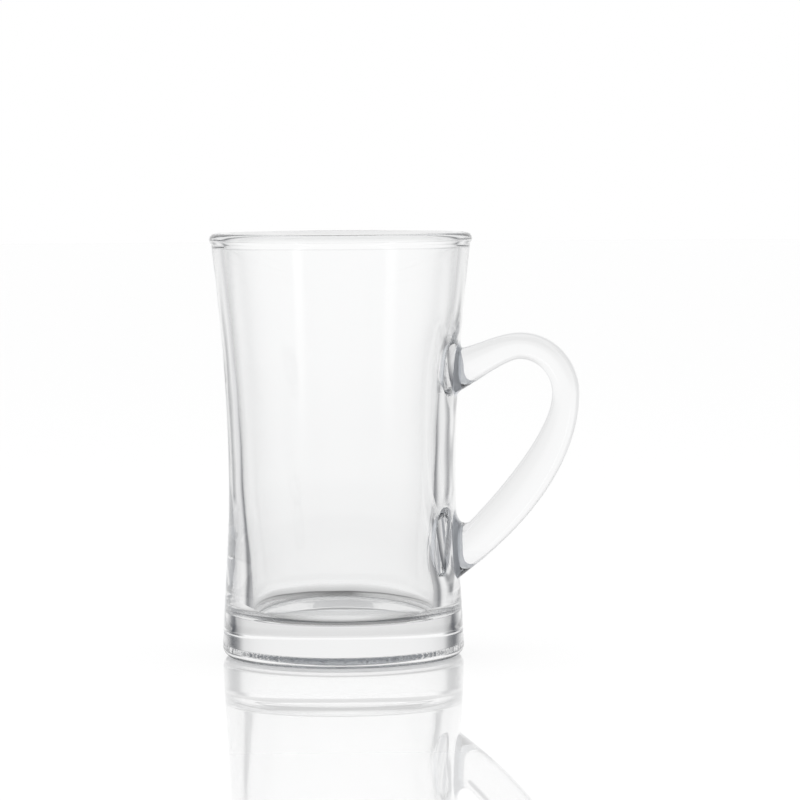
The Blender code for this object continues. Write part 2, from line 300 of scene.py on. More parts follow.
class BEERGLASS_PG_look(PropertyGroup):
    """Colours of the glass and the stage."""

    bowl_tint: colour("Bowl tint", "Colour of light that passed the bowl", (0.985, 0.987, 0.987))
    handle_tint: colour("Handle tint", "Colour of light that passed the handle", (0.952, 0.953, 0.955))
    # Painted shade: the dark tone that the handle's edges take, standing in for dark edge lines
    edge_shade_tint: colour("Edge tint", "Colour of light that passed the handle's edges", (0.52, 0.53, 0.54))
    # Painted shade: a blue-grey that darkens the collars, in place of the dense glass named below
    weld_shade_tint: colour("Weld tint", "Colour of the dense glass of a collar", (0.5, 0.53, 0.575))
    # Painted shade: the dark tone of the foot ring and the heel's lower arc
    ring_shade_tint: colour("Ring tint", "Colour of light that passed the foot ring", (0.17, 0.185, 0.205))
    floor_white: colour("Floor", "The pale table", (0.97, 0.97, 0.97))
    room_grey: colour("Room", "The dim room in front of the table", (0.06, 0.066, 0.078))


class BEERGLASS_PG_camera(PropertyGroup):
    """Where the picture is taken from."""

    distance: length("Distance", "Level distance from the bowl's axis", 1174.0)
    height: length("Height", "Over the table", 153.5)
    azimuth: angle("Azimuth", "Round the bowl's axis, from the front towards the handle", 9.0)
    pitch: angle("Pitch", "Below the horizon", 3.63)
    yaw: angle("Yaw", "To the right of the bowl's axis", 0.88)
    roll: angle("Roll", "Turn of the picture against the clock", 0.37)
    lens: FloatProperty(name="Lens", description="Focal length", default=170.86, subtype="DISTANCE_CAMERA")


def hermite(height, low, high):
    """Radius at a height on the cubic between two (height, radius, slope) knots."""
    span = high[0] - low[0]
    t = (height - low[0]) / span
    ease = t * t * (3 - 2 * t)
    low_bend = t * (1 - t) ** 2
    high_bend = t * t * (t - 1)
    return low[1] + (high[1] - low[1]) * ease + span * (low[2] * low_bend + high[2] * high_bend)


def neck_of(bowl):
    """(height, radius, slope) of the outside where it meets the rim bead, and the bead's angle there."""
    bead_angle = math.acos((bowl.bead_radius - bowl.bead_proud) / bowl.bead_radius)
    height = bowl.height - bowl.bead_radius - bowl.bead_radius * math.sin(bead_angle)
    return (height, bowl.rim_reach - bowl.bead_proud, bowl.rim_slope), bead_angle


def outer_radius(bowl, height):
    """Outside radius of the wall between the heel and the neck under the rim."""
    waist = (bowl.waist_height, bowl.waist_radius, 0.0)
    heel = (bowl.heel_radius, bowl.base_radius, bowl.base_slope)
    below = hermite(height, heel, waist)
    above = hermite(height, waist, neck_of(bowl)[0])
    return np.where(height < bowl.waist_height, below, above)


def wall_normals(bowl, points):
    """Directions square to the outside of the wall at points on it."""
    step = 0.1 * MM
    flare = outer_radius(bowl, points[:, 2] + step) - outer_radius(bowl, points[:, 2] - step)
    level = np.hypot(points[:, 0], points[:, 1])
    normals = np.column_stack((points[:, 0] / level, points[:, 1] / level, -flare / (2 * step)))
    return normals / np.linalg.norm(normals, axis=1, keepdims=True)


def on_wall(bowl, side, height):
    """Points on the outside of the wall on the handle's side, from their Y and Z."""
    radius = outer_radius(bowl, height)
    return np.column_stack((np.sqrt(radius**2 - side**2), side, height))


def arc(centre, radius, start, end, steps):
    """Points (radius, height) on an arc, both ends included."""
    angles = np.linspace(start, end, steps + 1)
    return np.column_stack((centre[0] + radius * np.cos(angles), centre[1] + radius * np.sin(angles)))


def rise(low, high, rows):
    """Points (radius, height) up a wall between two knots, the lower knot left out."""
    heights = np.linspace(low[0], high[0], rows + 1)[1:]
    return np.column_stack((hermite(heights, low, high), heights))


def inside_profile(bowl):
    """Half section of the bowl's inside, from the floor over the rim down to the neck."""
    floor_edge = bowl.inner_floor_radius - bowl.floor_corner
    corner_height = bowl.floor_thickness + bowl.floor_corner
    shares = np.linspace(0.0, 1.0, FLOOR_ROWS + 1)[1:]
    floor = np.column_stack((floor_edge * shares, bowl.floor_thickness - bowl.floor_dish * (1 - shares**2)))
    corner = arc((floor_edge, corner_height), bowl.floor_corner, -math.pi / 2, 0.0, ARC_ROWS)[1:]

    bead_centre = (bowl.rim_reach - bowl.bead_radius, bowl.height - bowl.bead_radius)
    lip_angle = math.pi - math.atan(bowl.inner_lip_slope)
    bead = [
        arc(bead_centre, bowl.bead_radius, lip_angle, math.pi / 2, ARC_ROWS),
        arc(bead_centre, bowl.bead_radius, math.pi / 2, 0.0, ARC_ROWS)[1:],
        arc(bead_centre, bowl.bead_radius, 0.0, -neck_of(bowl)[1], ARC_ROWS)[1:],
    ]
    low = (corner_height, bowl.inner_floor_radius, bowl.inner_floor_slope)
    waist = (bowl.waist_height, bowl.waist_radius - bowl.waist_wall, bowl.inner_waist_slope)
    lip = (bead[0][0, 1], bead[0][0, 0], bowl.inner_lip_slope)
    return np.vstack((floor, corner, rise(low, waist, WALL_ROWS), rise(waist, lip, WALL_ROWS)[:-1], *bead))


def under_profile(bowl):
    """Half section of the heel, the foot ring and the underside, from under the outer wall inwards."""
    heel_centre = (bowl.base_radius - bowl.heel_radius, bowl.heel_radius)
    heel = arc(heel_centre, bowl.heel_radius, 0.0, -math.pi / 2, ARC_ROWS)[1:]
    edge, top = heel[-1, 0] - bowl.ring_width, bowl.recess_depth
    turn, lean = bowl.recess_round, math.atan2(bowl.recess_draft, top)
    low = arc((edge + turn, turn), turn, -math.pi / 2, -math.pi + lean, EDGE_ROWS)
    high = arc((edge - bowl.recess_draft - turn, top - turn), turn, lean, math.pi / 2, EDGE_ROWS)
    radii = high[-1, 0] * np.linspace(1.0, 0.0, FLOOR_ROWS + 1)[1:-1]
    return np.vstack((heel, low, high, np.column_stack((radii, np.full(len(radii), top)))))


def turned(profile):
    """Rows of points: a (radius, height) profile swept round the axis, starting opposite the handle."""
    angles = -math.pi + 2 * math.pi * np.arange(BOWL_COLUMNS) / BOWL_COLUMNS
    radius, height = profile[:, :1], profile[:, 1:]
    return np.stack((radius * np.cos(angles), radius * np.sin(angles), height + 0 * angles), axis=-1)


def bezier(knots, t):
    """Points on a cubic curve, and their rates of change."""
    knots = np.array(knots)
    t = t[:, None]
    u = 1 - t
    points = u**3 * knots[0] + 3 * u * u * t * knots[1] + 3 * u * t * t * knots[2] + t**3 * knots[3]
    steps = np.diff(knots, axis=0)
    rates = 3 * (u * u * steps[0] + 2 * u * t * steps[1] + t * t * steps[2])
    return points, rates


def away(point, climb, distance):
    """The point (x, z) at a distance from another, in a direction that climbs at an angle."""
    return point[0] + distance * math.cos(climb), point[1] + distance * math.sin(climb)


def edge_line(
    handle, upper, rise_angle, crest, crest_pull, turn, turn_pull, foot, fall_angle, lower, lower_angle
):
    """One edge of the bar in the XZ plane: from the upper root over the crest and the turn to its foot."""
    climb = math.dist(upper, crest)
    fall = math.dist(turn, foot)
    last = handle.foot_pull * math.dist(foot, lower)
    across = handle.quarter_pull * (turn[0] - crest[0])
    drop = handle.quarter_pull * (crest[1] - turn[1])
    leave = away(upper, rise_angle, handle.root_pull * climb)
    arrive = away(foot, fall_angle, handle.fall_pull * fall)
    stretches = (
        (upper, leave, (crest[0] - crest_pull * climb, crest[1]), crest),
        (crest, (crest[0] + across, crest[1]), (turn[0], turn[1] + drop), turn),
        (turn, (turn[0], turn[1] - turn_pull * fall), arrive, foot),
        (foot, away(foot, fall_angle, -last), away(lower, lower_angle, last), lower),
    )
    t = np.linspace(0.0, 1.0, HANDLE_RINGS, endpoint=False)
    foot_t = np.linspace(0.0, 1.0, FOOT_RINGS + 1)
    parts = [bezier(stretch, t) for stretch in stretches[:-1]] + [bezier(stretches[-1], foot_t)]
    return np.vstack([points for points, _ in parts]), np.vstack([rates for _, rates in parts])


def handle_edges(bowl, handle):
    """The bar's outer and inner edges, each as points and rates of change."""
    upper_x = float(outer_radius(bowl, handle.upper_root_height)) + handle.weld_length
    lower_x = float(outer_radius(bowl, handle.lower_root_height)) + handle.weld_length
    crest_x = bowl.waist_radius + handle.crest_out
    crest_z = handle.top - handle.thickness
    turn_z = crest_z - handle.turn_drop
    outer_end = (lower_x, handle.lower_root_height - handle.lower_root_depth / 2)
    inner_end = (lower_x, handle.lower_root_height + handle.lower_root_depth / 2)
    outer = edge_line(
        handle,
        upper=(upper_x, handle.upper_root_height + handle.upper_root_depth / 2),
        rise_angle=handle.outer_rise,
        crest=(crest_x, handle.top),
        crest_pull=handle.outer_crest_pull,
        turn=(handle.reach, turn_z),
        turn_pull=handle.outer_turn_pull,
        foot=away(outer_end, handle.outer_fall, handle.foot_out / math.cos(handle.outer_fall)),
        fall_angle=handle.outer_fall,
        lower=outer_end,
        lower_angle=handle.outer_fall,
    )
    inner = edge_line(
        handle,
        upper=(upper_x, handle.upper_root_height - handle.upper_root_depth / 2),
        rise_angle=handle.inner_rise,
        crest=(crest_x, crest_z),
        crest_pull=handle.inner_crest_pull,
        turn=(handle.reach - handle.thickness, turn_z),
        turn_pull=handle.inner_turn_pull,
        foot=(lower_x + handle.foot_out, inner_end[1] + handle.inner_foot_rise),
        fall_angle=handle.inner_fall,
        lower=inner_end,
        lower_angle=handle.inner_foot,
    )
    return outer, inner


def section_shares(handle):
    """(towards the outer edge, towards +Y) shares of the half sizes round the bar, and of its slope."""
    turn = 2 * math.pi * np.arange(LOOP_POINTS) / LOOP_POINTS
    circle = np.column_stack((np.cos(turn), np.sin(turn)))
    circle[np.abs(circle) < 1e-9] = 0.0
    shares = np.sign(circle) * np.abs(circle) ** (2 / handle.squareness)
    square_to = np.sign(shares) * np.abs(shares) ** (handle.squareness - 1)
    return shares, np.column_stack((-square_to[:, 1], square_to[:, 0]))


def in_section(half, width, shares):
    """Offsets in the bar's section from shares of its half sizes."""
    return np.column_stack((half[0] * shares[:, 0], width / 2 * shares[:, 1], half[1] * shares[:, 0]))


def handle_rings(bowl, handle):
    """Sections of the bar from its upper to its lower end: points, normals and directions along the bar."""
    (outer, outer_rates), (inner, inner_rates) = handle_edges(bowl, handle)
    shares, turns = section_shares(handle)
    points, normals, alongs = [], [], []
    for far, near, far_rate, near_rate in zip(outer, inner, outer_rates, inner_rates):
        middle, half = (far + near) / 2, (far - near) / 2
        offset = in_section(half, handle.width, shares)
        across = in_section(half, handle.width, turns)
        middle_rate, half_rate = (far_rate + near_rate) / 2, (far_rate - near_rate) / 2
        along = in_section(half_rate, 0.0, shares) + np.array((middle_rate[0], 0.0, middle_rate[1]))
        normal = np.cross(across, along)
        normal *= np.sign(np.sum(normal * offset, axis=1, keepdims=True))
        points.append(offset + np.array((middle[0], 0.0, middle[1])))
        normals.append(normal / np.linalg.norm(normal, axis=1, keepdims=True))
        alongs.append(along / np.linalg.norm(along, axis=1, keepdims=True))
    return np.array(points), np.array(normals), np.array(alongs)


class Root:
    """One fused root of the handle: where its collar lands on the wall, and how it rounds into the bar."""

    def __init__(self, bowl, handle, upper):
        points, normals, alongs = handle_rings(bowl, handle)
        end = 0 if upper else -1
        self.outward = 1 if upper else -1
        self.end, self.end_normals = points[end], normals[end]
        landing = self.land(bowl, self.end, alongs[end] * self.outward)
        shares, _ = section_shares(handle)
        outer = (1 + shares[:, 0]) / 2
        outer_fillet = handle.upper_outer_fillet if upper else handle.lower_outer_fillet
        finger_fillet = handle.upper_finger_fillet if upper else handle.lower_finger_fillet
        reach = finger_fillet + (outer_fillet - finger_fillet) * outer
        side = landing[:, 1] + shares[:, 1] * handle.side_fillet
        height = landing[:, 2] + self.outward * shares[:, 0] * reach
        self.footprint = on_wall(bowl, side, height)
        self.along_wall = landing - self.footprint
        self.along_bar = self.end - landing

    @staticmethod
    def land(bowl, points, directions):
        """Where lines from the bar's end back along the bar meet the wall."""
        landing = points.copy()
        for _ in range(LANDING_STEPS):
            gap = np.hypot(landing[:, 0], landing[:, 1]) - outer_radius(bowl, landing[:, 2])
            landing -= directions * (gap / directions[:, 0])[:, None]
        return landing

    def fillet(self):
        """Rings of the collar's rounded skin, from the wall to the bar."""
        rings = [
            self.footprint + self.along_wall * math.sin(t) + self.along_bar * (1 - math.cos(t))
            for t in np.linspace(0.0, math.pi / 2, FILLET_RINGS + 1)
        ]
        return np.array(rings)

    def inner_loops(self, bowl):
        """Ever smaller copies of the footprint on the wall, and their middle point."""
        middle = self.footprint[:, 1:].mean(axis=0)
        spots = [middle + (self.footprint[:, 1:] - middle) * s for s in CAP_SHARES]
        loops = [on_wall(bowl, spot[:, 0], spot[:, 1]) for spot in spots]
        return loops, on_wall(bowl, middle[:1], middle[1:])


class Skin:
    """A mesh in the making: points, faces, each face's material slot and, where wanted, normals."""

    def __init__(self):
        self.points = []
        self.normals = []
        self.faces = []
        self.slots = []

    def add(self, points, normals=None):
        """Adds points and returns their numbers."""
        first = len(self.points)
        self.points.extend(map(tuple, points))
        self.normals.extend(map(tuple, np.zeros((len(points), 3)) if normals is None else normals))
        return list(range(first, len(self.points)))

    def face(self, corners, slot, flip=False):
        """One face, turned over where flip is set."""
        self.faces.append(tuple(reversed(corners)) if flip else tuple(corners))
        self.slots.append(slot)

    def bridge(self, loop, following, slot, flip=False):
        """A band of faces between two closed loops of as many points."""
        for i, corner in enumerate(loop):
            j = (i + 1) % len(loop)
            self.face((corner, loop[j], following[j], following[i]), slot, flip)

    def fan(self, loop, middle, slot, flip=False):
        """Triangles from a closed loop to one point."""
        for i, corner in enumerate(loop):
            self.face((corner, loop[(i + 1) % len(loop)], middle), slot, flip)

    def cap(self, edge, loops, middle, slot, flip=False):
        """Closes a loop over ever smaller loops to a middle point."""
        for points in loops:
            inner = self.add(points)
            self.bridge(edge, inner, slot, flip)
            edge = inner
        self.fan(edge, self.add(middle)[0], slot, flip)

    def mesh(self, name):
        """The finished mesh. Where points have normals, glass faces take them and other faces stay flat."""
        used = sorted({i for face in self.faces for i in face})
        place = {old: new for new, old in enumerate(used)}
        faces = [tuple(place[i] for i in face) for face in self.faces]
        mesh = bpy.data.meshes.new(name)
        mesh.from_pydata([self.points[i] for i in used], [], faces)
        mesh.polygons.foreach_set("material_index", self.slots)
        mesh.shade_smooth()
        normals = np.array([self.normals[i] for i in used])
        if normals.any():
            flat = [tuple(p.normal) for p in mesh.polygons]
            corner_normals = [
                tuple(normals[i]) if slot == GLASS else flat[n]
                for n, (face, slot) in enumerate(zip(faces, self.slots))
                for i in face
            ]
            mesh.normals_split_custom_set(corner_normals)
        mesh.validate()
        return mesh


def smaller_loops(ring):
    """Ever smaller copies of a flat ring, and its middle point."""
    middle = ring.mean(axis=0)
    return [middle + (ring - middle) * s for s in CAP_SHARES], [middle]


def window_heights(root):
    """Heights of the rows of a root's window in the wall, from the top down."""
    high = root.footprint[:, 2].max() + WINDOW_MARGIN
    low = root.footprint[:, 2].min() - WINDOW_MARGIN
    return np.linspace(high, low, WINDOW_CELLS + 1)


def window_edge(first_row, outward):
    """(row, column) once round a window, from the middle of its outer side towards +Y."""
    half = WINDOW_CELLS // 2
    run = range(-half, half)
    edge = [(-half, c) for c in run]
    edge += [(r, half) for r in run]
    edge += [(half, -c) for c in run]
    edge += [(-r, -half) for r in run]
    edge = edge[half:] + edge[:half]
    return [(first_row + half + outward * r, BOWL_COLUMNS // 2 + c) for r, c in edge]


def bowl_mesh(bowl, handle):
    """The bowl: a turned skin whose wall has a fitted window of faces round each fused root."""
    upper, lower = Root(bowl, handle, True), Root(bowl, handle, False)
    inside = turned(inside_profile(bowl))
    inside += ripple_moves(bowl, handle, inside)
    neck = neck_of(bowl)[0][0]
    upper_heights, lower_heights = window_heights(upper), window_heights(lower)
    first_upper = len(inside) + WALL_ROWS - 1
    first_lower = first_upper + WINDOW_CELLS + WALL_ROWS
    heights = np.concatenate(
        (
            np.linspace(neck, upper_heights[0], WALL_ROWS + 1)[1:-1],
            upper_heights,
            np.linspace(upper_heights[-1], lower_heights[0], WALL_ROWS + 1)[1:-1],
            lower_heights,
            np.linspace(lower_heights[-1], bowl.heel_radius, WALL_ROWS + 1)[1:],
        )
    )
    outside = turned(np.column_stack((outer_radius(bowl, heights), heights)))
    rows = np.concatenate((inside, outside, turned(under_profile(bowl))))
    first_ring = len(inside) + len(outside) + ARC_ROWS - 1
    # The heel's lower rows and the foot ring take the stippled glass, whose dark tint is painted shade
    ring = range(first_ring - HEEL_STIPPLE_ROWS, first_ring + 2 * EDGE_ROWS + 1)

    skin = Skin()
    numbers = [skin.add(row) for row in rows]
    half = WINDOW_CELLS // 2
    window_columns = range(BOWL_COLUMNS // 2 - half, BOWL_COLUMNS // 2 + half)
    windows = [range(first, first + WINDOW_CELLS) for first in (first_upper, first_lower)]
    for r, (row, following) in enumerate(zip(numbers, numbers[1:])):
        in_window = any(r in window for window in windows)
        for c in range(BOWL_COLUMNS):
            if in_window and c in window_columns:
                continue
            d = (c + 1) % BOWL_COLUMNS
            skin.face((row[d], row[c], following[c], following[d]), STIPPLED_SHADED if r in ring else GLASS)
    skin.fan(numbers[0], skin.add([(0.0, 0.0, bowl.floor_thickness - bowl.floor_dish)])[0], GLASS)
    skin.fan(numbers[-1], skin.add([(0.0, 0.0, bowl.recess_depth)])[0], GLASS, True)

    for root, first in ((upper, first_upper), (lower, first_lower)):
        edge = [numbers[r][c] for r, c in window_edge(first, root.outward)]
        fill_window(skin, bowl, root, edge)
    return skin.mesh("glass_bowl")


def ripple_moves(bowl, handle, rows):
    """Moves of the inside's points along the radius: waves in the wall, and marks behind the handle."""
    x, y, z = rows[..., 0], rows[..., 1], rows[..., 2]
    turn = np.arctan2(y, x)
    level = np.maximum(np.hypot(x, y), MM)
    low = bowl.floor_thickness + bowl.floor_corner
    high = bowl.height - RIPPLE_BELOW_RIM * bowl.bead_radius
    fade = np.clip((z - low) / RIPPLE_FADE_LOW, 0, 1) * np.clip((high - z) / RIPPLE_FADE_HIGH, 0, 1)
    waves = [size * np.sin(rounds * turn + rate * z + start) for size, rounds, rate, start in RIPPLES]
    move = bowl.ripple * sum(waves)
    side = turn * level
    for root_height in (handle.upper_root_height, handle.lower_root_height):
        off = (side / bowl.root_dent_width) ** 2 + ((z - root_height) / bowl.root_dent_height) ** 2
        move = move - bowl.root_dent * np.exp(-off)
    ends = np.clip((handle.upper_root_height + bowl.swell_past - z) / bowl.swell_past, 0, 1)
    ends = ends * np.clip((z - handle.lower_root_height + bowl.swell_past) / bowl.swell_past, 0, 1)
    move = move - bowl.swell * ends * ends * (3 - 2 * ends) * np.exp(-((side / bowl.swell_width) ** 2))
    for size, rate, start in SEAM_BENDS:
        side = side + size * np.sin(rate * z + start)
    move = move - bowl.seam_rise * np.exp(-((side / bowl.seam_width) ** 2))
    move = move * fade
    return np.stack((x / level * move, y / level * move, 0 * move), axis=-1)


def fill_window(skin, bowl, root, edge):
    """Rings of faces from a window's edge in to the collar's footprint, and the fused spot inside it."""
    flip = root.outward > 0
    rim = np.array([skin.points[i] for i in edge])
    turns = np.arctan2(rim[:, 1], rim[:, 0])
    goal_turns = np.arctan2(root.footprint[:, 1], root.footprint[:, 0])
    loop = edge
    for share_in in np.linspace(0.0, 1.0, WINDOW_RINGS + 1)[1:]:
        turn = turns + (goal_turns - turns) * share_in
        height = rim[:, 2] + (root.footprint[:, 2] - rim[:, 2]) * share_in
        radius = outer_radius(bowl, height)
        inner = skin.add(np.column_stack((radius * np.cos(turn), radius * np.sin(turn), height)))
        skin.bridge(loop, inner, GLASS, flip)
        loop = inner
    skin.cap(loop, *root.inner_loops(bowl), FUSED, flip)


def handle_mesh(bowl, handle):
    """The bar of the handle, closed at both fused ends."""
    points, normals, _ = handle_rings(bowl, handle)
    skin = Skin()
    loops = [skin.add(ring, normal) for ring, normal in zip(points, normals)]
    for loop, following in zip(loops, loops[1:]):
        skin.bridge(loop, following, GLASS, True)
    skin.cap(loops[0], *smaller_loops(points[0]), FUSED)
    skin.cap(loops[-1], *smaller_loops(points[-1]), FUSED, True)
    return skin.mesh("glass_handle")


def weld_mesh(bowl, handle, name, upper):
    """A collar: a rounded skin from its footprint on the wall to the bar's end, closed at both ends."""
    root = Root(bowl, handle, upper)
    rings = root.fillet()
    flip = root.outward > 0
    skin = Skin()
    loops = []
    for i, ring in enumerate(rings):
        across = np.roll(ring, -1, axis=0) - np.roll(ring, 1, axis=0)
        t = math.pi / 2 * i / FILLET_RINGS
        along = root.along_wall * math.cos(t) + root.along_bar * math.sin(t)
        normal = np.cross(along, across) * root.outward
        normal /= np.linalg.norm(normal, axis=1, keepdims=True)
        if i == 0:
            normal = wall_normals(bowl, ring)
        if i == FILLET_RINGS:
            normal = root.end_normals
        loops.append(skin.add(ring, normal))
    for loop, following in zip(loops, loops[1:]):
        skin.bridge(loop, following, GLASS, flip)
    skin.cap(loops[0], *root.inner_loops(bowl), FUSED, not flip)
    skin.cap(loops[-1], *smaller_loops(rings[-1]), FUSED, flip)
    return skin.mesh(name)


def add_node(tree, kind, inputs=None, **settings):
    """A node with its settings, and with values or links for its inputs."""
    node = tree.nodes.new(kind)
    for key, value in settings.items():
        setattr(node, key, value)
    for key, value in (inputs or {}).items():
        if isinstance(value, bpy.types.NodeSocket):
            tree.links.new(value, node.inputs[key])
        else:
            node.inputs[key].default_value = value
    return node


def maths(tree, operation, *values):
    """The output of a Math node."""
    return add_node(tree, "ShaderNodeMath", dict(enumerate(values)), operation=operation).outputs[0]


def product(tree, first, second):
    """One value times another."""
    return maths(tree, "MULTIPLY", first, second)


def is_count(tree, value, count):
    """1 where a count of bounces is this one, and 0 elsewhere."""
    return maths(tree, "COMPARE", value, count, 0.5)


def graded(tree, value, stops):
    """A grey that changes with a value, through (value, grey) stops."""
    low, high = stops[0][0], stops[-1][0]
    place = add_node(tree, "ShaderNodeMapRange", {"Value": value, "From Min": low, "From Max": high})
    ramp = add_node(tree, "ShaderNodeValToRGB", {"Fac": place.outputs["Result"]})
    elements = ramp.color_ramp.elements
    while len(elements) < len(stops):
        elements.new(0.5)
    for element, (at, grey) in zip(elements, stops):
        element.position = (at - low) / (high - low)
        element.color = (grey, grey, grey, 1.0)
    return ramp.outputs["Color"]


def blended(tree, share_of_second, first, second):
    """A colour between two others."""
    inputs = {"Factor": share_of_second, 6: first, 7: second}
    return add_node(tree, "ShaderNodeMix", inputs, data_type="RGBA").outputs[2]


def mixed(tree, share_of_second, first, second):
    """A shader between two others."""
    return add_node(tree, "ShaderNodeMixShader", {"Fac": share_of_second, 1: first, 2: second}).outputs[0]


def turned_parts(tree, vector, azimuth):
    """X, Y and Z of a vector after a turn that lays Y straight back in the picture."""
    inputs = {"Vector": vector, "Angle": -azimuth}
    turned_to = add_node(tree, "ShaderNodeVectorRotate", inputs, rotation_type="Z_AXIS")
    return add_node(tree, "ShaderNodeSeparateXYZ", {"Vector": turned_to.outputs[0]}).outputs


def through_one_solid(tree, path):
    """1 for light that comes straight through one wall of glass, such as the thick base or the handle."""
    straight = is_count(tree, path["Glossy Depth"], 0.0)
    return product(tree, straight, is_count(tree, path["Transmission Depth"], 2.0))


def clear_glass(name, tint, wave_size, wave_height):
    """Clear pressed glass: a faint tint, slow waves in the skin and a trace of marks in its polish."""
    material = bpy.data.materials.new(name)
    material.use_nodes = True
    tree = material.node_tree
    shader = tree.nodes["Principled BSDF"]
    place = add_node(tree, "ShaderNodeTexCoord").outputs["Object"]
    waves = add_node(tree, "ShaderNodeTexNoise", {"Vector": place, "Scale": 1 / wave_size, "Detail": 1.5})
    bump = add_node(
        tree, "ShaderNodeBump", {"Height": waves.outputs["Fac"], "Strength": 1.0, "Distance": wave_height}
    )
    marks = add_node(
        tree, "ShaderNodeTexNoise", {"Vector": place, "Scale": MARKS_SCALE, "Detail": 6.0, "Roughness": 0.7}
    )
    polish = add_node(
        tree,
        "ShaderNodeMapRange",
        {
            "Value": marks.outputs["Fac"],
            "From Min": MARKS_LOW,
            "From Max": MARKS_HIGH,
            "To Min": 0.0,
            "To Max": MARKS_ROUGHNESS,
        },
    )
    dense = add_node(tree, "ShaderNodeTexNoise", {"Vector": place, "Scale": DENSITY_SCALE, "Detail": 2.0})
    thinner = [c**DENSITY_SPREAD for c in tint]
    tone = blended(tree, dense.outputs["Fac"], (*tint, 1.0), (*thinner, 1.0))
    tree.links.new(tone, shader.inputs["Base Color"])
    tree.links.new(polish.outputs["Result"], shader.inputs["Roughness"])
    tree.links.new(bump.outputs["Normal"], shader.inputs["Normal"])
    shader.inputs["IOR"].default_value = GLASS_IOR
    shader.inputs["Transmission Weight"].default_value = 1.0
    return material


def paint_edge_shade(material, tint):
    """Painted shade: a darker tone at the edges of a bar, where its skin turns away edge-on."""
    tree = material.node_tree
    base_colour = tree.nodes["Principled BSDF"].inputs["Base Color"]
    tone = base_colour.links[0].from_socket
    facing = add_node(tree, "ShaderNodeLayerWeight", {"Blend": 0.5}).outputs["Facing"]
    tree.links.new(blended(tree, graded(tree, facing, EDGE_SHADE_STOPS), tone, (*tint, 1.0)), base_colour)


def fused_seam():
    """The place inside the glass where two pieces are fused: nothing shows there."""
    material = bpy.data.materials.get("fused_seam")
    if material is None:
        material = bpy.data.materials.new("fused_seam")
        material.use_nodes = True
        material.node_tree.nodes["Principled BSDF"].inputs["Alpha"].default_value = 0.0
    return material


def stippled_shaded_ring(tint):
    """Glass of the foot ring, pressed with fine pits that catch the light, with a dark tint that is painted
    shade.
    """
    material = clear_glass("foot_ring_shaded_glass", tint, *RING_PITS)
    shader = material.node_tree.nodes["Principled BSDF"]
    material.node_tree.links.remove(shader.inputs["Roughness"].links[0])
    shader.inputs["Roughness"].default_value = RING_ROUGHNESS
    return material


def place_piece(name, mesh, materials, node):
    """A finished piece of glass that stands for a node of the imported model."""
    for material in materials:
        mesh.materials.append(material)
    piece = bpy.data.objects.new(name, mesh)
    bpy.context.scene.collection.objects.link(piece)
    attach(piece, BODY)
    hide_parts(node)


class BEERGLASS_OT_bowl(Operator):
    """Build the pressed glass bowl"""

    bl_idname = "beer_glass.bowl"
    bl_label = "Glass Bowl"

    def execute(self, context):
        scene = context.scene
        mesh = bowl_mesh(scene.beer_glass_bowl, scene.beer_glass_handle)
        glass = clear_glass("bowl_glass", scene.beer_glass_look.bowl_tint, *BOWL_WAVES)
        ring = stippled_shaded_ring(scene.beer_glass_look.ring_shade_tint)
        place_piece("glass_bowl", mesh, (glass, fused_seam(), ring), "bowl")
        return {"FINISHED"}


class BEERGLASS_OT_handle(Operator):
    """Build the ear-shaped bar of the handle"""

    bl_idname = "beer_glass.handle"
    bl_label = "Glass Handle"

    def execute(self, context):
        scene = context.scene
        mesh = handle_mesh(scene.beer_glass_bowl, scene.beer_glass_handle)
        glass = clear_glass("handle_glass", scene.beer_glass_look.handle_tint, *HANDLE_WAVES)
        paint_edge_shade(glass, scene.beer_glass_look.edge_shade_tint)
        place_piece("glass_handle", mesh, (glass, fused_seam()), "handle")
        return {"FINISHED"}


class BEERGLASS_OT_welds(Operator):
    """Build the two collars that fuse the handle to the wall"""

    bl_idname = "beer_glass.welds"
    bl_label = "Fused Collars"

    def execute(self, context):
        scene = context.scene
        glass = clear_glass("weld_glass", scene.beer_glass_look.weld_shade_tint, *WELD_WAVES)
        shader = glass.node_tree.nodes["Principled BSDF"]
        shader.inputs["Transmission Weight"].default_value = WELD_CLEARNESS
        for node, upper in (("upper_handle_weld", True), ("lower_handle_weld", False)):
            name = "glass_" + node
            mesh = weld_mesh(scene.beer_glass_bowl, scene.beer_glass_handle, name, upper)
            place_piece(name, mesh, (glass, fused_seam()), node)
        return {"FINISHED"}


def table_shade(tree, path, off_axis, behind, base_seen):
    """How white the table is where the glass shows it, with its painted shadow round the base."""
    bounces = path["Glossy Depth"]
    shade = blended(tree, behind, graded(tree, off_axis, TABLE_SHADE), graded(tree, off_axis, BEHIND_SHADE))
    shade = blended(tree, base_seen, shade, graded(tree, off_axis, BASE_SHADE))
    dim = add_node(tree, "ShaderNodeVectorMath", {0: shade, "Scale": MIRRORED_TABLE}, operation="SCALE")
    shade = blended(tree, maths(tree, "GREATER_THAN", bounces, MIRRORED_BOUNCES), shade, dim.outputs[0])
    shade = blended(tree, maths(tree, "GREATER_THAN", bounces, CAUGHT_BOUNCES), shade, SCATTERED)
    return product(tree, shade, maths(tree, "SUBTRACT", 1.0, path["Is Diffuse Ray"]))


def table_opening(tree, path, off_axis, sideways, base_seen):
    """1 where the table lets light pass to the studio."""
    half_width = maths(tree, "SUBTRACT", product(tree, off_axis, WEDGE_SPREAD), WEDGE_CUT)
    past_wedge = maths(tree, "SUBTRACT", maths(tree, "ABSOLUTE", sideways), half_width)
    beyond = maths(tree, "GREATER_THAN", off_axis, TABLE_EDGE)
    beyond = product(tree, beyond, maths(tree, "SUBTRACT", 1.0, path["Is Camera Ray"]))
    return blended(tree, base_seen, beyond, graded(tree, past_wedge, WEDGE_EDGE))


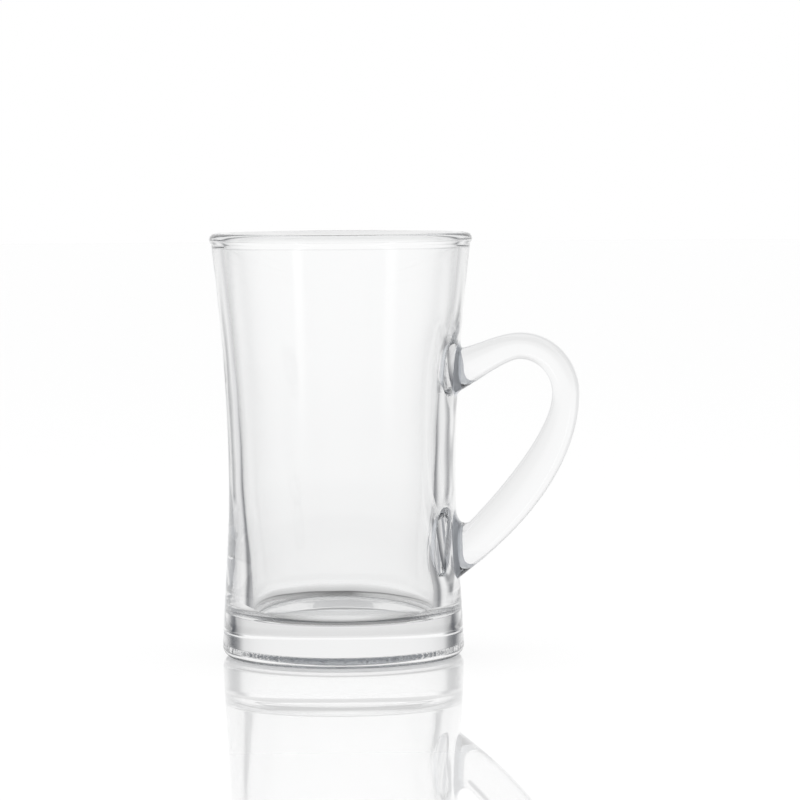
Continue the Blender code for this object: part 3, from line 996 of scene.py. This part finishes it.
def floor_material(name, white, azimuth, lit):
    """Polished pale table: white to look at, with a mirror image, a real shadow and painted shade near the
    base.
    """
    material = bpy.data.materials.new(name)
    material.use_nodes = True
    tree = material.node_tree
    tree.nodes.clear()
    path = add_node(tree, "ShaderNodeLightPath").outputs
    place = add_node(tree, "ShaderNodeTexCoord").outputs["Object"]
    metres_out = add_node(tree, "ShaderNodeVectorMath", {0: place}, operation="LENGTH").outputs["Value"]
    off_axis = maths(tree, "DIVIDE", metres_out, MM)
    parts = turned_parts(tree, place, azimuth)
    sideways = maths(tree, "DIVIDE", parts["X"], MM)
    rear = maths(tree, "GREATER_THAN", parts["Y"], 0.0)
    behind = product(tree, graded(tree, sideways, BEHIND_ACROSS), rear)
    past_ring = maths(tree, "GREATER_THAN", off_axis, CLEAR_TABLE)
    base_seen = product(tree, through_one_solid(tree, path), past_ring)

    shade = table_shade(tree, path, off_axis, behind, base_seen)
    seen = maths(tree, "MAXIMUM", path["Is Camera Ray"], shade)
    glow = add_node(tree, "ShaderNodeEmission", {"Color": WHITE, "Strength": seen}).outputs[0]
    matt = add_node(tree, "ShaderNodeBsdfDiffuse", {"Color": (*white, 1.0)}).outputs[0]
    gloss = add_node(tree, "ShaderNodeBsdfGlossy", {"Color": WHITE, "Roughness": 0.0}).outputs[0]
    sheen = add_node(tree, "ShaderNodeFresnel", {"IOR": POLISH_IOR}).outputs[0]
    polished = mixed(tree, sheen, mixed(tree, 1 - lit, matt, glow), gloss)
    gone = add_node(tree, "ShaderNodeBsdfTransparent").outputs[0]
    opening = table_opening(tree, path, off_axis, sideways, base_seen)
    add_node(tree, "ShaderNodeOutputMaterial", {"Surface": mixed(tree, opening, polished, gone)})
    return material


def plain_room(tree, dark, off_back, elevation):
    """The room in every direction: backdrop, table top far out, ceiling, and dark between them."""
    below, above = graded(tree, elevation, TABLE_TOP_HEIGHT), graded(tree, elevation, CEILING_HEIGHT)
    light_part = blended(tree, below, graded(tree, off_back, BACKDROP), graded(tree, off_back, TABLE_TOP))
    light_part = blended(tree, above, light_part, graded(tree, off_back, CEILING))
    light_part = blended(tree, graded(tree, elevation, ZENITH), light_part, ZENITH_GREY)
    return blended(tree, light_part, dark, WHITE)


def mirrored_room(tree, path, room, dark, bearing, off_back, elevation):
    """The room with what only light mirrored on or in the glass shows."""
    bounces, crossings = path["Glossy Depth"], path["Transmission Depth"]
    once = is_count(tree, bounces, 1.0)
    strips = product(tree, graded(tree, bearing, STRIPS), graded(tree, elevation, STRIP_HEIGHT))
    strips = product(tree, strips, product(tree, path["Is Reflection Ray"], once))
    room = add_node(tree, "ShaderNodeVectorMath", {0: room, 1: strips}, operation="ADD").outputs[0]
    room = blended(tree, maths(tree, "GREATER_THAN", bounces, MANY_BOUNCES), room, SCATTERED)
    room = blended(tree, maths(tree, "GREATER_THAN", bounces, CAUGHT_BOUNCES), room, CAUGHT)
    outside = maths(tree, "LESS_THAN", crossings, 0.5)
    room = blended(tree, product(tree, outside, graded(tree, off_back, MIRRORED_WHITE)), room, WHITE)
    flags = product(tree, graded(tree, off_back, FLAG), graded(tree, elevation, FLAG_HEIGHT))
    turned_once = product(tree, once, is_count(tree, crossings, 2.0))
    return blended(tree, product(tree, flags, turned_once), room, dark)


def studio_world(scene, room_grey, azimuth):
    """A white backdrop behind the glass, a white ceiling, and a dim room at the sides and in front."""
    world = bpy.data.worlds.new("studio")
    world.use_nodes = True
    tree = world.node_tree
    tree.nodes.clear()
    path = add_node(tree, "ShaderNodeLightPath").outputs
    parts = turned_parts(tree, add_node(tree, "ShaderNodeTexCoord").outputs["Generated"], azimuth)
    bearing = maths(tree, "DEGREES", maths(tree, "ARCTAN2", parts["X"], parts["Y"]))
    off_back = maths(tree, "ABSOLUTE", bearing)
    elevation = maths(tree, "DEGREES", maths(tree, "ARCSINE", parts["Z"]))
    dark = (*room_grey, 1.0)
    room = plain_room(tree, dark, off_back, elevation)
    room = mirrored_room(tree, path, room, dark, bearing, off_back, elevation)

    card = product(tree, graded(tree, off_back, CARD), graded(tree, elevation, CARD_HEIGHT))
    card = product(tree, card, through_one_solid(tree, path))
    behind = blended(tree, card, graded(tree, elevation, BEHIND), dark)
    through = product(tree, path["Is Transmission Ray"], is_count(tree, path["Glossy Depth"], 0.0))
    shown = blended(tree, through, room, behind)
    plain = maths(tree, "MAXIMUM", path["Is Camera Ray"], path["Is Diffuse Ray"])
    shown = blended(tree, plain, shown, WHITE)
    light = add_node(tree, "ShaderNodeBackground", {"Color": shown, "Strength": 1.0}).outputs[0]
    add_node(tree, "ShaderNodeOutputWorld", {"Surface": light})
    scene.world = world


def add_softbox(scene, name, place, aim, side, strength):
    """A flat, square lamp that lights the table and isn't seen in the glass or by the camera."""
    lamp = bpy.data.lights.new(name, "AREA")
    lamp.shape = "RECTANGLE"
    lamp.size = lamp.size_y = side
    lamp.energy = strength * math.pi * side * side
    softbox = bpy.data.objects.new(name, lamp)
    softbox.location = place
    softbox.rotation_euler = (Vector(aim) - Vector(place)).to_track_quat("-Z", "Y").to_euler()
    softbox.visible_camera = softbox.visible_glossy = softbox.visible_transmission = False
    scene.collection.objects.link(softbox)


def add_camera(scene, view):
    """The camera at the picture's angle."""
    out = Vector((math.sin(view.azimuth), -math.cos(view.azimuth), 0.0))
    right = Vector((math.cos(view.azimuth), math.sin(view.azimuth), 0.0))
    ahead = -out * math.cos(view.yaw) + right * math.sin(view.yaw)
    side = right * math.cos(view.yaw) + out * math.sin(view.yaw)
    up = Vector((0.0, 0.0, 1.0))
    look = ahead * math.cos(view.pitch) - up * math.sin(view.pitch)
    over = ahead * math.sin(view.pitch) + up * math.cos(view.pitch)
    picture_right = side * math.cos(view.roll) - over * math.sin(view.roll)
    picture_up = side * math.sin(view.roll) + over * math.cos(view.roll)
    camera = bpy.data.objects.new("camera", bpy.data.cameras.new("camera"))
    camera.data.lens = view.lens
    camera.data.clip_start, camera.data.clip_end = CLIP_START, CLIP_END
    turn = Matrix((picture_right, picture_up, -look)).transposed().to_4x4()
    camera.matrix_world = Matrix.Translation(out * view.distance + up * view.height) @ turn
    scene.collection.objects.link(camera)
    scene.camera = camera


def add_table(scene, name, radius, drop, material):
    """A round, flat part of the stage, a little below the underside of the glass."""
    turns = [2 * math.pi * i / TABLE_STEPS for i in range(TABLE_STEPS)]
    corners = [(radius * math.cos(t), radius * math.sin(t), -drop) for t in turns]
    mesh = bpy.data.meshes.new(name)
    mesh.from_pydata(corners, [], [range(TABLE_STEPS)])
    mesh.materials.append(material)
    table = bpy.data.objects.new(name, mesh)
    scene.collection.objects.link(table)
    return table


class BEERGLASS_OT_stage(Operator):
    """Build the table, the light and the camera"""

    bl_idname = "beer_glass.stage"
    bl_label = "Stage"

    def execute(self, context):
        scene = context.scene
        look, view = scene.beer_glass_look, scene.beer_glass_camera
        shaded = floor_material("table_shade", look.floor_white, view.azimuth, TABLE_LIT)
        table = add_table(scene, "table", TABLE_RADIUS, TABLE_DROP, shaded)
        table.visible_camera = False
        white = floor_material("table_white", look.floor_white, view.azimuth, FLOOR_LIT)
        floor = add_table(scene, "floor", FLOOR_RADIUS, FLOOR_DROP, white)
        floor.visible_glossy = floor.visible_transmission = False
        floor.visible_diffuse = floor.visible_shadow = False
        studio_world(scene, look.room_grey, view.azimuth)
        add_softbox(scene, "overhead_softbox", SOFTBOX_PLACE, SOFTBOX_AIM, SOFTBOX_SIDE, SOFTBOX_STRENGTH)
        add_camera(scene, view)
        scene.view_settings.view_transform = "Standard"
        scene.cycles.max_bounces = ALL_BOUNCES
        scene.cycles.glossy_bounces = GLASS_BOUNCES
        scene.cycles.transmission_bounces = GLASS_BOUNCES
        scene.cycles.transparent_max_bounces = CLEAR_BOUNCES
        scene.cycles.use_denoising = True
        return {"FINISHED"}


class BEERGLASS_PT_panel(Panel):
    """Lists the pieces of the glass."""

    bl_idname = "BEERGLASS_PT_panel"
    bl_label = "Beer Glass"
    bl_space_type = "VIEW_3D"
    bl_region_type = "UI"
    bl_category = "Beer Glass"

    def draw(self, context):
        for operator in OPERATORS:
            self.layout.operator(operator.bl_idname)


GROUPS = {
    "beer_glass_bowl": BEERGLASS_PG_bowl,
    "beer_glass_handle": BEERGLASS_PG_handle,
    "beer_glass_look": BEERGLASS_PG_look,
    "beer_glass_camera": BEERGLASS_PG_camera,
}
OPERATORS = (BEERGLASS_OT_bowl, BEERGLASS_OT_handle, BEERGLASS_OT_welds, BEERGLASS_OT_stage)
CLASSES = (*GROUPS.values(), *OPERATORS, BEERGLASS_PT_panel)


def register():
    """Makes the classes and their settings known to Blender."""
    for cls in CLASSES:
        bpy.utils.register_class(cls)
    for name, group in GROUPS.items():
        setattr(bpy.types.Scene, name, PointerProperty(type=group))


def unregister():
    """Takes back what register did."""
    for name in GROUPS:
        delattr(bpy.types.Scene, name)
    for cls in reversed(CLASSES):
        bpy.utils.unregister_class(cls)


def main():
    """Builds the stage and the four pieces."""
    register()
    bpy.ops.beer_glass.stage()
    bpy.ops.beer_glass.bowl()
    bpy.ops.beer_glass.handle()
    bpy.ops.beer_glass.welds()


if __name__ == "__main__":
    main()
